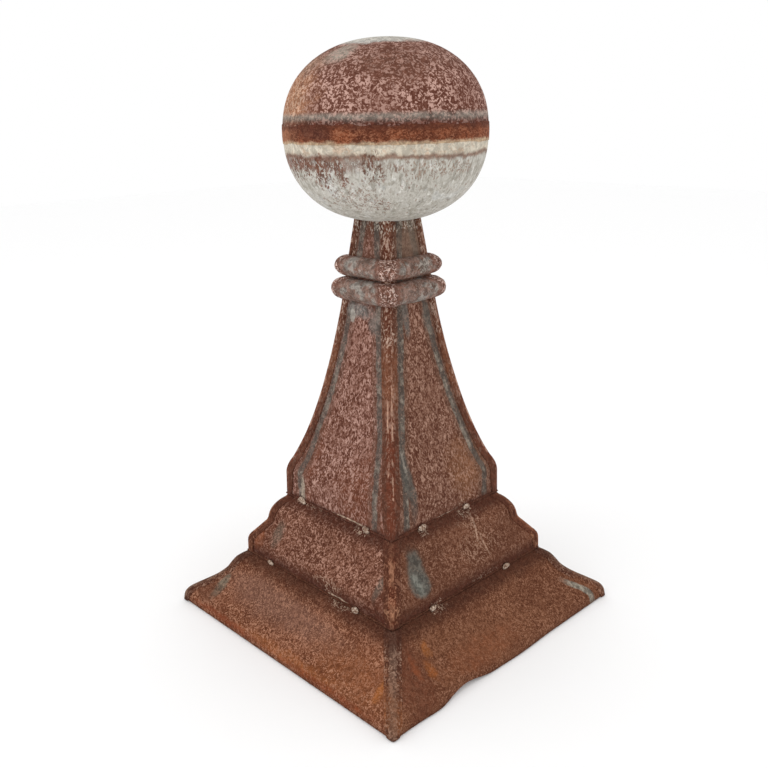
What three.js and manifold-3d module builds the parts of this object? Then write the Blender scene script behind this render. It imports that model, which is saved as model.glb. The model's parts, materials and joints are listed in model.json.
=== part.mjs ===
// Garden obelisk: an old sheet-steel roof finial, square in plan, with a hollow ball on top.
// Three tiers of folded sheet (base skirt, plinth, shaft) stand on one another, each made of
// four mitred face panels whose corners are covered by raised corner ribs. Two half-round
// beads ring the neck, and a ball spun in two halves closes the top.
// Millimetres, +Z up, origin at the bottom centre of the base, base edges along X and Y.
import * as THREE from 'three';
import { mergeVertices } from 'three/addons/utils/BufferGeometryUtils.js';
import Module from 'manifold-3d';

const wasm = await Module();
wasm.setup();

// Sheet and joints
const sheet = 1; // wall thickness of every panel and shell
const gap = 0.3; // clearance between soldered pieces
const ribProud = 1.8; // how far a corner rib stands off the face
const ribHalfWidth = 10.5; // half of a rib's width, square to the corner's diagonal
const cornerCut = 2.6; // how much of the sharp corner is flattened, along the diagonal

// Outlines of the tiers as [half width, height], from the bottom up. Each stretch runs straight
// to its end, or bends there by way of one or two control points.
const base = {
  foot: [203, 0],
  stretches: {
    dripEdge: { end: [202, 9] },
    lip: { bend: [[201.2, 15], [197.5, 19]], end: [192, 22.5] },
    sweep: { bend: [[180, 31], [166, 38]], end: [157.5, 51] },
    rise: { bend: [[153.5, 59]], end: [150, 63.5] },
    shoulder: { bend: [[146, 68]], end: [136.6, 73.5] },
  },
};
const plinth = {
  foot: [136.8, 74.3],
  stretches: {
    upright: { end: [136.8, 90] },
    nose: { bend: [[136.8, 97]], end: [131.5, 102] },
    slope: { end: [118.5, 118] },
    step: { bend: [[116.2, 121]], end: [115.6, 127] },
    quarterRound: { bend: [[112.5, 143]], end: [99, 152.3] },
    seat: { end: [96.6, 156] },
  },
};
const shaft = {
  foot: [97, 157],
  stretches: {
    upright: { end: [97, 187] },
    nose: { bend: [[97, 197]], end: [90, 208.8] },
    taper: { bend: [[67.5, 258.8], [52, 335]], end: [40.9, 408.8] },
    neck: { end: [26.9, 518] },
  },
};
const bendSteps = { base: 4, plinth: 4, shaft: 7, bead: 9 }; // flats along each curve
const hemWidth = 12; // lower edge of the skirt turned inwards
const flangeReach = 6.5; // a tier's top runs this far inwards under the tier above
const flangeRise = 1.8;

// Beads round the neck: widest half width, height of the middle and half thickness
const beads = {
  lower: { half: 53, middle: 429.7, radius: 13.7 },
  upper: { half: 49.2, middle: 457.8, radius: 12.2 },
};

// Ball: a slightly flattened and squared sphere; the heights are from its widest line
const ball = {
  radius: 118.5,
  centre: 611.7,
  above: { height: 102.5, squareness: 2.26 },
  below: { height: 101.5, squareness: 2.25 },
};
const seam = { drop: 1, top: 9.5, bottom: -10, proud: 1.2 }; // heights from the ball's widest line
const ballTurns = 40;
const ballSteps = 9; // flats from pole to rim
const beltSteps = 3;

// Solder tacks: places along each face, left to right as seen from outside
const tackRadius = 5.2;
const tackStretch = [1.2, 0.9, 0.8]; // along the joint, outwards and upwards
const tackPlaces = {
  plinth_top: { front: [-64, 55], right: [-48, 33], back: [-58, 44], left: [-52, 48] },
  base_top: { front: [-86, 77], right: [-72, 66], back: [-80, 70], left: [-74, 78] },
};
const faceTurns = { front: 0, right: 1, back: 2, left: 3 }; // quarter turns from the face at -Y
const cornerTurns = { front_right: 0, back_right: 1, back_left: 2, front_left: 3 };

const reach = 320; // longer than half of any diagonal
const openEnd = 20; // how far a cutting solid runs past the ends of its tier
const slabStart = 10; // a corner slab starts this far from the axis
const quarter = Math.PI / 2;

// Finishes
const finishes = {
  rustPanel: { color: 0x7a4a3a, roughness: 0.85, metalness: 0.25 },
  rustRib: { color: 0x6e3524, roughness: 0.8, metalness: 0.3 },
  zincBead: { color: 0x6c6660, roughness: 0.6, metalness: 0.6 },
  zincBall: { color: 0xb9b6a8, roughness: 0.6, metalness: 0.5 },
  seamRust: { color: 0x8a4222, roughness: 0.85, metalness: 0.2 },
  solder: { color: 0xb5aba0, roughness: 0.5, metalness: 0.7 },
};

function outlineOf({ foot, stretches }, steps) {
  const path = new THREE.Path();
  path.moveTo(...foot);
  for (const { bend = [], end } of Object.values(stretches)) {
    if (bend.length === 0) path.lineTo(...end);
    if (bend.length === 1) path.quadraticCurveTo(...bend[0], ...end);
    if (bend.length === 2) path.bezierCurveTo(...bend[0], ...bend[1], ...end);
  }
  return pointsOf(path, steps);
}

function pointsOf(path, steps) {
  return path.getPoints(steps).map((point) => [point.x, point.y]);
}

function withHem(face) {
  const [half, height] = face[0];
  return [[half - hemWidth, height], ...face];
}

function withFlange(face) {
  const [half, height] = face[face.length - 1];
  return [...face, [half - flangeReach, height + flangeRise]];
}

function beadOutline({ half, middle, radius }) {
  const back = shaft.stretches.neck.end[0];
  const path = new THREE.Path();
  path.moveTo(back, middle - radius);
  path.lineTo(half - radius, middle - radius);
  path.absarc(half - radius, middle, radius, -quarter, quarter, false);
  path.lineTo(back, middle + radius);
  return pointsOf(path, bendSteps.bead);
}

// Moves an outline along its own normals: outwards for a positive distance.
function offsetOutline(outline, distance) {
  const normals = outline.slice(1).map(([a, z], i) => {
    const direction = new THREE.Vector2(a - outline[i][0], z - outline[i][1]).normalize();
    return new THREE.Vector2(direction.y, -direction.x);
  });
  return outline.map(([a, z], i) => {
    const before = normals[Math.max(i - 1, 0)];
    const after = normals[Math.min(i, normals.length - 1)];
    const middle = before.clone().add(after).normalize();
    const length = distance / middle.dot(after);
    return [a + middle.x * length, z + middle.y * length];
  });
}

function solidFrom(geometry) {
  const bare = geometry.clone();
  bare.deleteAttribute('normal');
  bare.deleteAttribute('uv');
  const merged = mergeVertices(bare, 1e-4);
  const vertProperties = new Float32Array(merged.attributes.position.array);
  const triVerts = new Uint32Array(merged.index.array);
  return new wasm.Manifold(new wasm.Mesh({ numProp: 3, vertProperties, triVerts }));
}

function geometryFrom(solid) {
  const mesh = solid.getMesh();
  const geometry = new THREE.BufferGeometry();
  geometry.setAttribute('position', new THREE.BufferAttribute(new Float32Array(mesh.vertProperties), 3));
  geometry.setIndex(new THREE.BufferAttribute(new Uint32Array(mesh.triVerts), 1));
  geometry.computeVertexNormals();
  return geometry;
}

// A flat outline in X and Z pushed through along Y, by the same length on each side of the axis.
function pushedThrough(points, halfLength) {
  const shape = new THREE.Shape(points.map(([x, z]) => new THREE.Vector2(x, z)));
  const geometry = new THREE.ExtrudeGeometry(shape, { depth: 2 * halfLength, bevelEnabled: false });
  geometry.rotateX(quarter);
  geometry.translate(0, halfLength, 0);
  return geometry;
}

// The solid of square plan whose half width follows the outline; low and high lengthen its ends.
function squareSolid(outline, low, high) {
  const first = outline[0];
  const last = outline[outline.length - 1];
  const side = [[first[0], low], ...outline, [last[0], high]].filter(
    ([a, z], i, all) => i === 0 || Math.hypot(a - all[i - 1][0], z - all[i - 1][1]) > 1e-6,
  );
  const mirrored = side.map(([a, z]) => [-a, z]).reverse();
  const along = pushedThrough([...side, ...mirrored], reach);
  const across = along.clone().rotateZ(quarter);
  return solidFrom(along).intersect(solidFrom(across));
}

// The same with its corners flattened. grow moves every surface out, or in when negative.
function tierSolid(outline, { grow = 0, open = false } = {}) {
  const faces = offsetOutline(outline, grow);
  const cut = cornerCut + grow * (Math.SQRT2 - 1);
  const corners = faces.map(([a, z]) => [a * Math.SQRT2 - cut, z]);
  const stretch = open ? openEnd : 0;
  const low = faces[0][1] - stretch;
  const high = faces[faces.length - 1][1] + stretch;
  const square = squareSolid(faces, low, high);
  const diamond = squareSolid(corners, low, high).rotate([0, 0, 45]);
  return square.intersect(diamond);
}

// Everything nearer to the face at -Y than to its neighbours, short of the mitre by half a gap.
function faceWedge(low, high) {
  const inset = gap / Math.SQRT2;
  const triangle = [[0, -inset], [-reach, -reach - inset], [reach, -reach - inset]];
  return upright(triangle, low, high);
}

// A slab of the given half width along the corner diagonal towards +X, -Y.
function cornerSlab(halfWidth, low, high) {
  const slab = [[slabStart, -halfWidth], [reach, -halfWidth], [reach, halfWidth], [slabStart, halfWidth]];
  return upright(slab, low, high).rotate([0, 0, -45]);
}

function upright(points, low, high) {
  const shape = new THREE.Shape(points.map(([x, y]) => new THREE.Vector2(x, y)));
  const geometry = new THREE.ExtrudeGeometry(shape, { depth: high - low, bevelEnabled: false });
  geometry.translate(0, 0, low);
  return solidFrom(geometry);
}

// The ball's outline between two angles, taken from its widest line upwards.
function ballOutline(shrink, fromAngle, toAngle, steps) {
  return Array.from({ length: steps + 1 }, (unused, i) => {
    const angle = fromAngle + ((toAngle - fromAngle) * i) / steps;
    const half = angle < 0 ? ball.below : ball.above;
    const power = 2 / half.squareness;
    const radius = (ball.radius - shrink) * Math.abs(Math.cos(angle)) ** power;
    const height = (half.height - shrink) * Math.sign(angle) * Math.abs(Math.sin(angle)) ** power;
    return new THREE.Vector2(radius < 1e-3 ? 0 : radius, height);
  });
}

// Angle of the ball's outline at a height from its widest line.
function ballAngle(height, shrink) {
  const half = height < 0 ? ball.below : ball.above;
  const part = Math.abs(height) / (half.height - shrink);
  return Math.sign(height) * Math.asin(part ** (half.squareness / 2));
}

function ballHalf(pole, rimHeight) {
  const outer = ballOutline(0, pole, ballAngle(rimHeight, 0), ballSteps);
  const inner = ballOutline(sheet, pole, ballAngle(rimHeight, sheet), ballSteps).reverse();
  const profile = pole < 0 ? [...outer, ...inner] : [...outer, ...inner].reverse();
  return new THREE.LatheGeometry(profile, ballTurns);
}

// A belt that follows the ball's outline and stands a little proud of it.
function seamBelt() {
  const inner = ballOutline(-gap, ballAngle(seam.bottom, -gap), ballAngle(seam.top, -gap), beltSteps);
  const outer = ballOutline(-seam.proud, ballAngle(seam.bottom, 0), ballAngle(seam.top, 0), beltSteps);
  const profile = [...outer, ...inner.reverse(), outer[0].clone()];
  return new THREE.LatheGeometry(profile, ballTurns);
}

const obelisk = new THREE.Group();
const materials = Object.fromEntries(
  Object.entries(finishes).map(([name, finish]) => [name, new THREE.MeshStandardMaterial(finish)]),
);

function addPiece(name, geometry, finish, quarterTurns = 0) {
  const mesh = new THREE.Mesh(geometry, materials[finish]);
  mesh.name = name;
  mesh.rotation.z = quarterTurns * quarter;
  obelisk.add(mesh);
  return mesh;
}

// Four mitred panels cut from one hollow tier, and four ribs over its corners.
function addTier(name, face, outline, { clearTop, trim }) {
  const low = footOf(face);
  const high = topOf(face) - clearTop;
  const shell = tierSolid(outline).subtract(tierSolid(outline, { grow: -sheet, open: true }));
  const ribBack = tierSolid(face, { grow: gap, open: true });
  const jacket = tierSolid(face, { grow: ribProud, open: true }).subtract(ribBack);
  let panel = shell.intersect(faceWedge(low - openEnd, high + openEnd));
  let rib = jacket.intersect(cornerSlab(ribHalfWidth, low, high));
  if (trim) {
    panel = panel.subtract(trim);
    rib = rib.subtract(trim);
  }
  for (const [side, turns] of Object.entries(faceTurns)) {
    addPiece(`${name}_panel_${side}`, geometryFrom(panel), 'rustPanel', turns);
  }
  for (const [corner, turns] of Object.entries(cornerTurns)) {
    addPiece(`${name}_corner_rib_${corner}`, geometryFrom(rib), 'rustRib', turns);
  }
}

const baseOutline = outlineOf(base, bendSteps.base);
const plinthOutline = outlineOf(plinth, bendSteps.plinth);
const shaftOutline = outlineOf(shaft, bendSteps.shaft);
const footOf = (outline) => outline[0][1];
const topOf = (outline) => outline[outline.length - 1][1];
const ballRoomOutline = ballOutline(-gap, -quarter, quarter, 2 * ballSteps);
const ballRoom = solidFrom(new THREE.LatheGeometry(ballRoomOutline, ballTurns))
  .rotate([90, 0, 0])
  .translate([0, 0, ball.centre]);

addTier('base', baseOutline, withHem(withFlange(baseOutline)), { clearTop: gap });
addTier('plinth', plinthOutline, withFlange(plinthOutline), { clearTop: 0 });
addTier('shaft', shaftOutline, shaftOutline, { clearTop: 0, trim: ballRoom });

// Half-round beads, hollow and open at the back, notched over the corner ribs.
const shaftRoom = tierSolid(shaftOutline, { grow: gap, open: true });
const ribRoom = tierSolid(shaftOutline, { grow: ribProud + gap, open: true });
const ribNotch = ribRoom.intersect(cornerSlab(ribHalfWidth + gap, footOf(shaftOutline), topOf(shaftOutline)));
const ribNotches = [0, 1, 2, 3]
  .map((turns) => ribNotch.rotate([0, 0, 90 * turns]))
  .reduce((all, notch) => all.add(notch));
for (const [level, size] of Object.entries(beads)) {
  const outline = beadOutline(size);
  const hollow = tierSolid(outline, { grow: -sheet });
  const length = tierSolid(outline)
    .subtract(hollow)
    .subtract(shaftRoom)
    .subtract(ribNotches)
    .intersect(faceWedge(size.middle - openEnd, size.middle + openEnd));
  for (const [side, turns] of Object.entries(faceTurns)) {
    addPiece(`${level}_bead_${side}`, geometryFrom(length), 'zincBead', turns);
  }
}

// Ball
const ballPieces = [
  ['ball_upper_half', ballHalf(quarter, -seam.drop), 'zincBall'],
  ['ball_lower_half', ballHalf(-quarter, -seam.drop - gap), 'zincBall'],
  ['ball_seam_belt', seamBelt(), 'seamRust'],
];
for (const [name, geometry, finish] of ballPieces) {
  geometry.rotateX(quarter);
  addPiece(name, geometry, finish).position.z = ball.centre;
}

// Solder tacks: flattened drops in the corner where one tier stands on the next.
const plinthRoom = tierSolid(plinthOutline, { grow: gap, open: true });
const baseRoom = tierSolid(baseOutline, { grow: gap, open: true });
const tackSeats = {
  plinth_top: { seat: shaft.foot, rooms: [shaftRoom, plinthRoom] },
  base_top: { seat: plinth.foot, rooms: [plinthRoom, baseRoom] },
};
for (const [level, places] of Object.entries(tackPlaces)) {
  const { seat: [half, height], rooms } = tackSeats[level];
  for (const [side, positions] of Object.entries(places)) {
    positions.forEach((place, i) => {
      const drop = new THREE.SphereGeometry(tackRadius, 8, 6);
      drop.scale(...tackStretch);
      drop.translate(place, -half, height);
      const solid = rooms.reduce((left, room) => left.subtract(room), solidFrom(drop));
      addPiece(`${level}_solder_${side}_${i + 1}`, geometryFrom(solid), 'solder', faceTurns[side]);
    });
  }
}

export default obelisk;
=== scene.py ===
import json
import math

import bpy
from mathutils import Matrix, Vector
from mathutils.geometry import interpolate_bezier

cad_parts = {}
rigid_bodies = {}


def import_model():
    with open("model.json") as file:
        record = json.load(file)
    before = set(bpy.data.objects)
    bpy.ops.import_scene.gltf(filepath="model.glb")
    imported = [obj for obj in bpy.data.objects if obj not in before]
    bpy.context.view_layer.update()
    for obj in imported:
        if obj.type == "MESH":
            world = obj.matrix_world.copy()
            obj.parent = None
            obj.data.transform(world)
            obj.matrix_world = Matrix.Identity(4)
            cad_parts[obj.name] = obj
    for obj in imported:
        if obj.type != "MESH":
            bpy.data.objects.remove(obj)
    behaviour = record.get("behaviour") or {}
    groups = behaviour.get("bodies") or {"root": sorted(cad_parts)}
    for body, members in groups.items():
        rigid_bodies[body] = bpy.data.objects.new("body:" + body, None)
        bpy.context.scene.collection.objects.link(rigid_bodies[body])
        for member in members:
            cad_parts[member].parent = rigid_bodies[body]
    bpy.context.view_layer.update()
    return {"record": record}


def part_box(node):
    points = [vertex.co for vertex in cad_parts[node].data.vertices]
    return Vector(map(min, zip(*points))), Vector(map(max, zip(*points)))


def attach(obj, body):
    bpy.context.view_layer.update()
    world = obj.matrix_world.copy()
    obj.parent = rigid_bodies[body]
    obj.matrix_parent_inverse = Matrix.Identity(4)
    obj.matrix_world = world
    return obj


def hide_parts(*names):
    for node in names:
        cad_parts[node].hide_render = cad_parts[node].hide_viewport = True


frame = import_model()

mm = 0.001
sides = {"front": 0, "right": 1, "back": 2, "left": 3}  # quarter turns from the face at -Y
corners = {"front_right": 0, "back_right": 1, "back_left": 2, "front_left": 3}
sheetThickness = 1.0 * mm
jointGap = 0.3 * mm  # clearance between soldered pieces


# Working in object and edit mode

def deselectAll():
    if bpy.context.object and bpy.context.object.mode != "OBJECT":
        bpy.ops.object.mode_set(mode="OBJECT")
    bpy.ops.object.select_all(action="DESELECT")


def makeActive(piece):
    deselectAll()
    piece.select_set(True)
    bpy.context.view_layer.objects.active = piece


def startEditing(piece, kind="VERT", action="SELECT"):
    makeActive(piece)
    bpy.ops.object.mode_set(mode="EDIT")
    bpy.ops.mesh.select_mode(type=kind)
    bpy.ops.mesh.select_all(action=action)


def finishEditing():
    bpy.ops.object.mode_set(mode="OBJECT")


def selectVertices(piece, wanted):
    startEditing(piece, "VERT", "DESELECT")
    finishEditing()
    for vertex in piece.data.vertices:
        vertex.select = bool(wanted(vertex.co))
    bpy.ops.object.mode_set(mode="EDIT")


def selectFaces(piece, wanted):
    startEditing(piece, "FACE", "DESELECT")
    finishEditing()
    for face in piece.data.polygons:
        face.select = bool(wanted(face.center))
    bpy.ops.object.mode_set(mode="EDIT")


def applyModifier(piece, kind, **values):
    makeActive(piece)
    bpy.ops.object.modifier_add(type=kind)
    modifier = piece.modifiers[-1]
    for name, value in values.items():
        setattr(modifier, name, value)
    bpy.ops.object.modifier_apply(modifier=modifier.name)


def settle(piece, angle=35):
    makeActive(piece)
    bpy.ops.object.transform_apply(location=True, rotation=True, scale=True)
    bpy.ops.object.shade_smooth_by_angle(angle=math.radians(angle))


def turnOutward(piece, centre=Vector((0, 0, 0))):
    outward = sum(face.normal.dot(face.center - centre) * face.area for face in piece.data.polygons)
    if outward < 0:
        startEditing(piece, "FACE")
        bpy.ops.mesh.flip_normals()
        finishEditing()


def turnedCopy(piece, name, quarterTurns):
    makeActive(piece)
    bpy.ops.object.duplicate()
    copy = bpy.context.object
    copy.name = name
    copy.rotation_euler.z = quarterTurns * math.pi / 2
    bpy.ops.object.transform_apply(rotation=True)
    return copy


def sideDirections(turns):
    angle = turns * math.pi / 2
    outward = Vector((math.sin(angle), -math.cos(angle), 0))
    across = Vector((math.cos(angle), math.sin(angle), 0))
    return outward, across


# Hand-worked sheet is never quite flat.

def unevenness(name, size):
    texture = bpy.data.textures.new(name, "CLOUDS")
    texture.noise_scale = size
    texture.noise_depth = 1
    return texture


broadDents = unevenness("broadDents", 0.09)
closeDents = unevenness("closeDents", 0.025)
lumps = unevenness("lumps", 0.009)


def roughen(piece, broad=1.0 * mm, close=0.35 * mm, above=None, lump=0):
    group = ""
    if above is not None:
        group = "free"
        free = piece.vertex_groups.new(name=group)
        free.add([v.index for v in piece.data.vertices if v.co.z > above], 1, "REPLACE")
    for texture, strength in ((broadDents, broad), (closeDents, close), (lumps, lump)):
        if strength:
            applyModifier(piece, "DISPLACE", texture=texture, strength=strength, mid_level=0.5,
                          texture_coords="LOCAL", vertex_group=group)


def finishPiece(piece, node, finish):
    piece.data.materials.clear()
    piece.data.materials.append(finish)
    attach(piece, "root")
    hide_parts(node)


slotOf = {part["node"]: part["material_slot"] for part in frame["record"]["subparts"]}


# Finishes. Colours are written as they look, from 0 to 255.

def shade(red, green, blue):
    def linear(value):
        value /= 255
        return value / 12.92 if value <= 0.04045 else ((value + 0.055) / 1.055) ** 2.4
    return (linear(red), linear(green), linear(blue), 1)


def addNode(tree, kind, inputs=None, **settings):
    made = tree.nodes.new("ShaderNode" + kind)
    for name, value in settings.items():
        setattr(made, name, value)
    for name, value in (inputs or {}).items():
        if isinstance(value, bpy.types.NodeSocket):
            tree.links.new(value, made.inputs[name])
        else:
            made.inputs[name].default_value = value
    return made


def sums(tree, operation, first, second=0.0, third=0.0):
    return addNode(tree, "Math", {0: first, 1: second, 2: third}, operation=operation).outputs[0]


def ramp(tree, value, low, high, bottom=0.0, top=1.0):
    return addNode(tree, "MapRange", {"Value": value, "From Min": low, "From Max": high,
                                      "To Min": bottom, "To Max": top},
                   interpolation_type="SMOOTHSTEP").outputs["Result"]


def mixed(tree, mask, under, over):
    return addNode(tree, "Mix", {"Factor": mask, 6: under, 7: over}, data_type="RGBA").outputs[2]


def noise(tree, where, scale, detail=3.0, roughness=0.55, distortion=0.0):
    return addNode(tree, "TexNoise", {"Vector": where, "Scale": scale, "Detail": detail,
                                      "Roughness": roughness, "Distortion": distortion}).outputs[0]


def newGroup(name, inputs, outputs):
    group = bpy.data.node_groups.new(name, "ShaderNodeTree")
    for label, value in inputs.items():
        kind = "NodeSocketVector" if isinstance(value, tuple) else "NodeSocketFloat"
        group.interface.new_socket(label, in_out="INPUT", socket_type=kind).default_value = value
    for label in outputs:
        group.interface.new_socket(label, in_out="OUTPUT", socket_type="NodeSocketFloat")
    given = group.nodes.new("NodeGroupInput").outputs
    result = group.nodes.new("NodeGroupOutput").inputs
    return group, given, result


def useGroup(tree, group, inputs):
    made = tree.nodes.new("ShaderNodeGroup")
    made.node_tree = group
    for name, value in inputs.items():
        if isinstance(value, bpy.types.NodeSocket):
            tree.links.new(value, made.inputs[name])
        else:
            made.inputs[name].default_value = value
    return made.outputs


# Short worm-like flecks of pale rust on a dark ground, with fine grain over them.
def makeFlecks():
    group, given, result = newGroup("rustFlecks", {"Vector": (0, 0, 0), "Scale": 230.0, "Length": 1.3,
                                                   "Cover": 0.0},
                                    ["Light", "Dark", "Grain"])
    squeeze = sums(group, "DIVIDE", 1.0, given["Length"])
    size = addNode(group, "CombineXYZ", {"X": 1.0, "Y": 1.0, "Z": squeeze}).outputs[0]
    where = addNode(group, "VectorMath", {0: given["Vector"], 1: size}, operation="MULTIPLY").outputs[0]
    coarse = noise(group, where, given["Scale"], 1.5, 0.6, 1.3)
    finer = noise(group, where, sums(group, "MULTIPLY", given["Scale"], 2.4), 2.0, 0.6, 0.5)
    both = sums(group, "ADD", sums(group, "MULTIPLY", coarse, 0.62), sums(group, "MULTIPLY", finer, 0.38))
    both = sums(group, "ADD", both, given["Cover"])
    group.links.new(ramp(group, both, 0.525, 0.575), result["Light"])
    group.links.new(ramp(group, both, 0.485, 0.435), result["Dark"])
    group.links.new(both, result["Grain"])
    return group


# A strip beside each corner, measured along the face from the corner; it may swing out below a height.
def makeCornerStrip():
    group, given, result = newGroup(
        "cornerStrip", {"Vector": (0, 0, 0), "Near": 0.015, "Far": 0.024, "Softness": 0.002,
                        "Ragged": 0.006, "Swing": 0.0}, ["Mask"])
    split = addNode(group, "SeparateXYZ", {0: given["Vector"]}).outputs
    away = sums(group, "ABSOLUTE", sums(group, "SUBTRACT", sums(group, "ABSOLUTE", split[0]),
                                        sums(group, "ABSOLUTE", split[1])))
    swing = sums(group, "MULTIPLY", given["Swing"], ramp(group, split[2], 0.27, 0.18))
    wander = sums(group, "SUBTRACT", noise(group, given["Vector"], 55.0, 5.0, 0.7), 0.5)
    distance = sums(group, "MULTIPLY_ADD", wander, given["Ragged"], sums(group, "SUBTRACT", away, swing))
    near = ramp(group, distance, sums(group, "SUBTRACT", given["Near"], given["Softness"]), given["Near"])
    far = ramp(group, distance, given["Far"], sums(group, "ADD", given["Far"], given["Softness"]), 1.0, 0.0)
    group.links.new(sums(group, "MULTIPLY", near, far), result["Mask"])
    return group


# A ragged-edged patch around a point.
def makePatch():
    group, given, result = newGroup(
        "stainPatch", {"Vector": (0, 0, 0), "Centre": (0, 0, 0), "Size": (0.02, 0.02, 0.02), "Ragged": 1.1,
                       "Grain": 90.0, "Softness": 0.25}, ["Mask"])
    offset = addNode(group, "VectorMath", {0: given["Vector"], 1: given["Centre"]},
                     operation="SUBTRACT").outputs[0]
    scaled = addNode(group, "VectorMath", {0: offset, 1: given["Size"]}, operation="DIVIDE").outputs[0]
    length = addNode(group, "VectorMath", {0: scaled}, operation="LENGTH").outputs["Value"]
    wander = sums(group, "SUBTRACT", noise(group, given["Vector"], given["Grain"], 5.0, 0.7), 0.5)
    edge = sums(group, "MULTIPLY_ADD", wander, given["Ragged"], length)
    group.links.new(ramp(group, edge, sums(group, "SUBTRACT", 0.95, given["Softness"]),
                         sums(group, "ADD", 0.95, given["Softness"]), 1.0, 0.0), result["Mask"])
    return group


# A band between two heights, with wandering edges.
def makeHeightBand():
    group, given, result = newGroup(
        "heightBand", {"Vector": (0, 0, 0), "Low": 0.0, "High": 1.0, "Softness": 0.002, "Ragged": 0.004,
                       "Grain": 60.0}, ["Mask"])
    height = addNode(group, "SeparateXYZ", {0: given["Vector"]}).outputs[2]
    wander = sums(group, "SUBTRACT", noise(group, given["Vector"], given["Grain"], 5.0, 0.7), 0.5)
    place = sums(group, "MULTIPLY_ADD", wander, given["Ragged"], height)
    low = ramp(group, place, sums(group, "SUBTRACT", given["Low"], given["Softness"]),
               sums(group, "ADD", given["Low"], given["Softness"]))
    high = ramp(group, place, sums(group, "SUBTRACT", given["High"], given["Softness"]),
                sums(group, "ADD", given["High"], given["Softness"]), 1.0, 0.0)
    group.links.new(sums(group, "MULTIPLY", low, high), result["Mask"])
    return group


# Runs and scratches drawn out vertically.
def makeStreaks():
    group, given, result = newGroup(
        "verticalStreaks", {"Vector": (0, 0, 0), "Scale": 160.0, "Length": 9.0, "Cover": 0.4}, ["Mask"])
    squeeze = sums(group, "DIVIDE", 1.0, given["Length"])
    size = addNode(group, "CombineXYZ", {"X": 1.0, "Y": 1.0, "Z": squeeze}).outputs[0]
    where = addNode(group, "VectorMath", {0: given["Vector"], 1: size}, operation="MULTIPLY").outputs[0]
    lines = noise(group, where, given["Scale"], 3.0, 0.6)
    start = sums(group, "SUBTRACT", 0.68, sums(group, "MULTIPLY", given["Cover"], 0.3))
    group.links.new(ramp(group, lines, start, sums(group, "ADD", start, 0.06)), result["Mask"])
    return group


groups = {"flecks": makeFlecks(), "corner": makeCornerStrip(), "patch": makePatch(),
          "band": makeHeightBand(), "streaks": makeStreaks()}


# A layer of colour lies where all its masks meet; it may be broken up, or show only through flecks.
def layerMask(tree, where, layer, flecks):
    masks = []
    for kind, values in layer["where"]:
        inputs = {name.capitalize(): value for name, value in values.items()}
        masks.append(useGroup(tree, groups[kind], {"Vector": where, **inputs})["Mask"])
    if "broken" in layer:
        scale, cover = layer["broken"]
        cloud = noise(tree, where, scale, 5.0, 0.7)
        masks.append(ramp(tree, cloud, 0.6 - cover * 0.25, 0.66 - cover * 0.25))
    if "through" in layer:
        masks.append(flecks[layer["through"]])
    if "flecked" in layer:
        masks.append(sums(tree, "MULTIPLY_ADD", flecks["Light"], -layer["flecked"], 1.0))
        masks.append(sums(tree, "MULTIPLY_ADD", flecks["Dark"], -layer["flecked"] * 0.6, 1.0))
    mask = masks[0]
    for other in masks[1:]:
        mask = sums(tree, "MULTIPLY", mask, other)
    return sums(tree, "MULTIPLY", mask, layer.get("amount", 1.0))


def makeFinish(name, look):
    finish = bpy.data.materials.new(name)
    finish.use_nodes = True
    tree = finish.node_tree
    shader = tree.nodes["Principled BSDF"]
    where = addNode(tree, "TexCoord").outputs["Object"]
    broad = noise(tree, where, look.get("broadScale", 18.0), 4.0, 0.6)
    colour = mixed(tree, ramp(tree, broad, 0.4, 0.6), shade(*look["ground"]), shade(*look["groundOther"]))
    flecks = useGroup(tree, groups["flecks"], {"Vector": where, "Scale": look["fleckScale"],
                                               "Length": look.get("fleckLength", 1.3),
                                               "Cover": look.get("fleckCover", 0.0)})
    patchy = ramp(tree, noise(tree, where, 32.0, 4.0, 0.6), 0.35, 0.58, look.get("fleckThin", 0.5), 1.0)
    dark = sums(tree, "MULTIPLY", flecks["Dark"], look["darkAmount"])
    light = sums(tree, "MULTIPLY", flecks["Light"], sums(tree, "MULTIPLY", patchy, look["fleckAmount"]))
    colour = mixed(tree, dark, colour, shade(*look["darkFleck"]))
    colour = mixed(tree, light, colour, shade(*look["lightFleck"]))
    mottle = ramp(tree, noise(tree, where, 150.0, 5.0, 0.75, 0.6), 0.4, 0.62)
    metal = None
    for layer in look["layers"]:
        mask = layerMask(tree, where, layer, flecks)
        spread = layer.get("spread", 0.12)
        low = shade(*[value * (1 - spread) for value in layer["colour"]])
        high = shade(*[min(255, value * (1 + spread)) for value in layer["colour"]])
        colour = mixed(tree, mask, colour, mixed(tree, mottle, low, high))
        if "zinc" in layer:
            share = sums(tree, "MULTIPLY", mask, layer["zinc"])
            metal = sums(tree, "MAXIMUM", metal, share) if metal else share
    tree.links.new(colour, shader.inputs["Base Color"])
    if metal:
        tree.links.new(metal, shader.inputs["Metallic"])
    rough = look["roughness"]
    worn = ramp(tree, flecks["Grain"], 0.4, 0.6, rough + 0.08, rough - 0.08)
    tree.links.new(worn, shader.inputs["Roughness"])
    pits = noise(tree, where, look["fleckScale"] * 0.3, 4.0, 0.6)
    height = sums(tree, "MULTIPLY_ADD", pits, 0.6, flecks["Grain"])
    bump = addNode(tree, "Bump", {"Height": height, "Strength": look.get("bump", 0.4), "Distance": 0.0015})
    tree.links.new(bump.outputs[0], shader.inputs["Normal"])
    shader.inputs["Specular IOR Level"].default_value = look.get("specular", 0.1)
    return finish


def band(low, high, colour, amount=0.6, ragged=0.008, softness=0.004, grain=60.0, **more):
    place = {"low": low, "high": high, "ragged": ragged, "softness": softness, "grain": grain}
    return {"where": [("band", place)], "colour": colour, "amount": amount, **more}


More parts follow.
